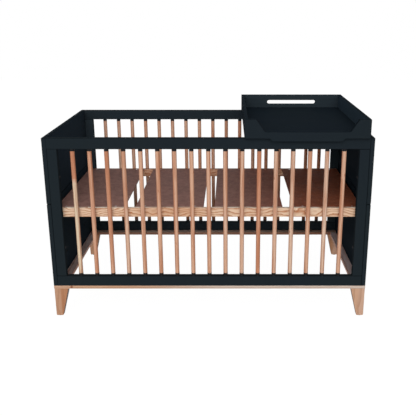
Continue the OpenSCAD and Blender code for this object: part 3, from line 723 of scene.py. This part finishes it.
class CRIB_OT_legs(CribOperator, Operator):
    """Finish the four tapered legs and their glides"""

    bl_idname = "crib.legs"
    bl_label = "Legs"

    def execute(self, context):
        tones = looks()
        amber = (tones.leg_amber, tones.leg_amber_deep, tones.plinth_vein)
        tan = (tones.plinth_light, tones.plinth_deep, tones.plinth_vein)
        # Each leg is glued up from two boards. The joint lies off its middle by a share of its width.
        off_middle, blend = 0.06, 4 * MM
        for order, corner in enumerate(("front_left", "front_right", "rear_left", "rear_right")):
            name = f"{corner}_leg"
            soften(name, edges().timber)
            if corner.endswith("left"):
                inward, inner_woods, outer_tone = 1.0, amber, tones.leg_tan
            else:
                inward, inner_woods, outer_tone = -1.0, tan, tones.leg_pink
            low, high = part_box(name)
            joint = (low.x + high.x) / 2 - inward * off_middle * (high.x - low.x)
            outer_board = (outer_tone, joint + inward * blend, joint - inward * blend)
            # Painted shade on the leg's inner face.
            inner_face = ("X", inward, tones.leg_painted_shade)
            seed = 41.0 + 7 * order
            coat([name], timber(f"{name}_wood", "Z", seed, inner_woods, lines=90.0, swing=1.0,
                                second=outer_board, filters=[inner_face]))
        coat(["leg_glides"], plastic("glide_plastic", tones.glide, roughness=0.6))
        return {"FINISHED"}


class CRIB_OT_mattress_base(CribOperator, Operator):
    """Finish the rails, cleats and hardboard panels of the mattress base"""

    bl_idname = "crib.mattress_base"
    bl_label = "Mattress Base"

    def execute(self, context):
        tones = looks()
        woods = (tones.base_light, tones.base_deep, tones.base_vein)
        rails = {
            # Painted highlight on the front rail's top.
            "front": ("X", [("Z", 1.0, scaled(tones.front_top_highlight, 1.6))]),
            # Painted shade on the rear rail's top and inner face.
            "rear": ("X", [("Z", 1.0, tones.rear_top_painted_shade), ("Y", -1.0, tones.rear_face_painted_shade)]),
            "left": ("Y", []),
            "right": ("Y", []),
        }
        for order, (part, (axis, filters)) in enumerate(rails.items()):
            name = f"base_{part}_rail"
            soften(name, edges().timber)
            seed = 71.0 + 9 * order
            coat([name], timber(f"{name}_wood", axis, seed, woods, lines=70.0, swing=3.0, bold=1.0,
                                ripples=1.1, filters=filters))
        coat(["base_cleats"], timber("cleat_wood", "X", 113.0, woods, lines=90.0, swing=1.5))
        for number in (1, 2, 3, 4):
            name = f"base_panel_{number}"
            soften(name, edges().board, segments=1)
            coat([name], hardboard(f"{name}_board", seed=2.7 * number))
        return {"FINISHED"}


class CRIB_OT_tray(CribOperator, Operator):
    """Finish the boards, floor and stop of the changing tray"""

    bl_idname = "crib.tray"
    bl_label = "Changing Tray"

    def execute(self, context):
        shade = looks().lacquer_painted_light
        # Painted light and shade on the boards' faces, as filters: darker and cooler on some, lighter on
        # others.
        ends = [("X", 1.0, shade), ("X", -1.0, shade)]
        boards = {
            "front_board": [("Z", 1.0, shade), *ends],
            "rear_board": [("Z", 1.0, scaled(shade, 1.8)), ("Y", -1.0, scaled(WHITE, 1.7)), *ends],
            "left_board": [("Z", 1.0, scaled(shade, 0.9)), *ends],
            "right_board": [("Z", 1.0, scaled(shade, 0.9)), ("X", -1.0, scaled(shade, 2.5))],
            "floor": [("Z", 1.0, scaled(shade, 0.85))],
            "stop": [],
        }
        for part, filters in boards.items():
            name = f"tray_{part}"
            slotted = part == "rear_board"
            soften(name, edges().slot if slotted else edges().tray, whole=not slotted)
            coat([name], lacquer(f"{name}_lacquer", seed=8.4, filters=filters))
        return {"FINISHED"}


class CRIB_OT_fixings(CribOperator, Operator):
    """Finish the bolts, screws, inserts, brackets and dowels"""

    bl_idname = "crib.fixings"
    bl_label = "Fixings"

    def execute(self, context):
        tones = looks()
        coat(["base_brackets", "bracket_bolts", "stile_bolts"],
             metal("black_steel", tones.black_steel, roughness=0.35, bare=0.0))
        coat(["leg_screws", "plinth_screws", "cleat_screws", "panel_screws"],
             metal("zinc_steel", tones.zinc, roughness=0.25, bare=1.0))
        coat(["insert_nuts"], metal("insert_brass", tones.brass, roughness=0.6, bare=0.0))
        coat(["seam_dowels", "frame_dowels", "plinth_dowels", "base_dowels", "tray_dowels"],
             plain_wood("dowel_wood", tones.dowel))
        return {"FINISHED"}


def floor_material(strength, clean):
    """Pale floor that the camera sees as the white background, with the crib's shadow kept.

    strength is that of the white glow, and clean the share of it that the camera sees.
    """
    s = Shader("pale_floor")
    tone = 0.80 + s.noise(s.place(), scale=1.5) * 0.02
    paint = s.node("ShaderNodeBsdfDiffuse", None, {"Color": s.join(tone, tone, tone)})
    glow = s.node("ShaderNodeEmission", None, {"Color": WHITE, "Strength": strength})
    shown = s.node("ShaderNodeMixShader", None, {0: s.seen_white(0.0) * clean, 1: paint, 2: glow})
    s.plug(s.tree.nodes["Material Output"].inputs["Surface"], shown)
    return s.material


def lay_floor(scene, half, material):
    """A square floor under the crib, that far to each side of the frame's middle."""
    mesh = bpy.data.meshes.new("floor")
    corners = [(-half, -half, 0), (half, -half, 0), (half, half, 0), (-half, half, 0)]
    mesh.from_pydata(corners, [], [(0, 1, 2, 3)])
    mesh.materials.append(material)
    floor = bpy.data.objects.new("floor", mesh)
    scene.collection.objects.link(floor)
    floor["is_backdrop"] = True


def white_surround(scene, front, side, back):
    """A world that is white to the camera and in reflections, and lights the crib most from the front."""
    world = bpy.data.worlds.new("white_surround")
    world.use_nodes = True
    scene.world = world
    s = Nodes(world.node_tree)
    _, rearward, _ = s.split(s.node("ShaderNodeTexCoord", out="Generated"))
    along = s.node("ShaderNodeMapRange", None, {"Value": rearward, "From Min": -1.0})
    level = s.node("ShaderNodeFloatCurve", {"levels": (front, side, back)}, {"Value": along})
    background = s.tree.nodes["Background"]
    s.plug(background.inputs["Color"], WHITE)
    s.plug(background.inputs["Strength"], s.seen_white(level))


def place_lamp(scene, lamp, place, aim):
    """Hangs a lamp in the scene, turned to a point."""
    light = bpy.data.objects.new(lamp.name, lamp)
    scene.collection.objects.link(light)
    light.location = place
    light.rotation_euler = (aim - light.location).to_track_quat("-Z", "Y").to_euler()


def broad_light(name, spread, strength):
    """A wide, even light like a wall of soft boxes, with no loss over distance."""
    lamp = bpy.data.lights.new(name, "SUN")
    lamp.angle = spread
    lamp.energy = strength
    return lamp


def soft_light(name, size, power):
    """A square soft box."""
    lamp = bpy.data.lights.new(name, "AREA")
    lamp.shape = "SQUARE"
    lamp.size = size
    lamp.energy = power
    return lamp


def place_camera(scene, place, tilt, lens, shift):
    """The camera that looks along +Y and down."""
    optics = bpy.data.cameras.new("camera")
    optics.lens = lens
    optics.sensor_width = SENSOR
    optics.shift_x = shift
    camera = bpy.data.objects.new("camera", optics)
    scene.collection.objects.link(camera)
    camera.location = place
    camera.rotation_euler = (tilt, 0.0, 0.0)
    scene.camera = camera


class CRIB_OT_stage(CribOperator, Operator):
    """Set up the floor, the light and the camera"""

    bl_idname = "crib.stage"
    bl_label = "Stage"

    def execute(self, context):
        scene = context.scene
        stage = scene.crib_stage
        low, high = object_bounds()
        middle = (low + high) / 2
        lay_floor(scene, stage.floor, floor_material(stage.floor_glow, stage.floor_clean))
        white_surround(scene, stage.front_sky, stage.side_sky, stage.back_sky)
        place_lamp(scene, broad_light("key_light", stage.key_spread, stage.key), stage.key_place, middle)
        place_lamp(scene, soft_light("fill_light", stage.fill_size, stage.fill), stage.fill_place, middle)
        place_camera(scene, stage.eye, stage.tilt, stage.lens, stage.shift)
        scene.view_settings.view_transform = "Standard"
        return {"FINISHED"}


class CRIB_PT_sidebar(Panel):
    """Lists the crib's operators and settings"""

    bl_idname = "CRIB_PT_sidebar"
    bl_label = "Convertible Crib"
    bl_space_type = "VIEW_3D"
    bl_region_type = "UI"
    bl_category = "Crib"

    def draw(self, context):
        layout = self.layout
        for step in STEPS:
            layout.operator(step.bl_idname)
        for name in GROUPS:
            group = getattr(context.scene, name)
            box = layout.box()
            for key in group.__annotations__:
                box.prop(group, key)


STEPS = (
    CRIB_OT_end_panels,
    CRIB_OT_ladder_frames,
    CRIB_OT_bars,
    CRIB_OT_plinth,
    CRIB_OT_legs,
    CRIB_OT_mattress_base,
    CRIB_OT_tray,
    CRIB_OT_fixings,
    CRIB_OT_stage,
)
GROUPS = {"crib_colours": CribColours, "crib_edges": CribEdges, "crib_stage": CribStage}


def register():
    for item in (*GROUPS.values(), *STEPS, CRIB_PT_sidebar):
        bpy.utils.register_class(item)
    for name, group in GROUPS.items():
        setattr(bpy.types.Scene, name, PointerProperty(type=group))


def unregister():
    for name in GROUPS:
        delattr(bpy.types.Scene, name)
    for item in (CRIB_PT_sidebar, *reversed(STEPS), *GROUPS.values()):
        bpy.utils.unregister_class(item)


def main():
    register()
    for step in STEPS:
        area, name = step.bl_idname.split(".")
        getattr(getattr(bpy.ops, area), name)()


if __name__ == "__main__":
    main()
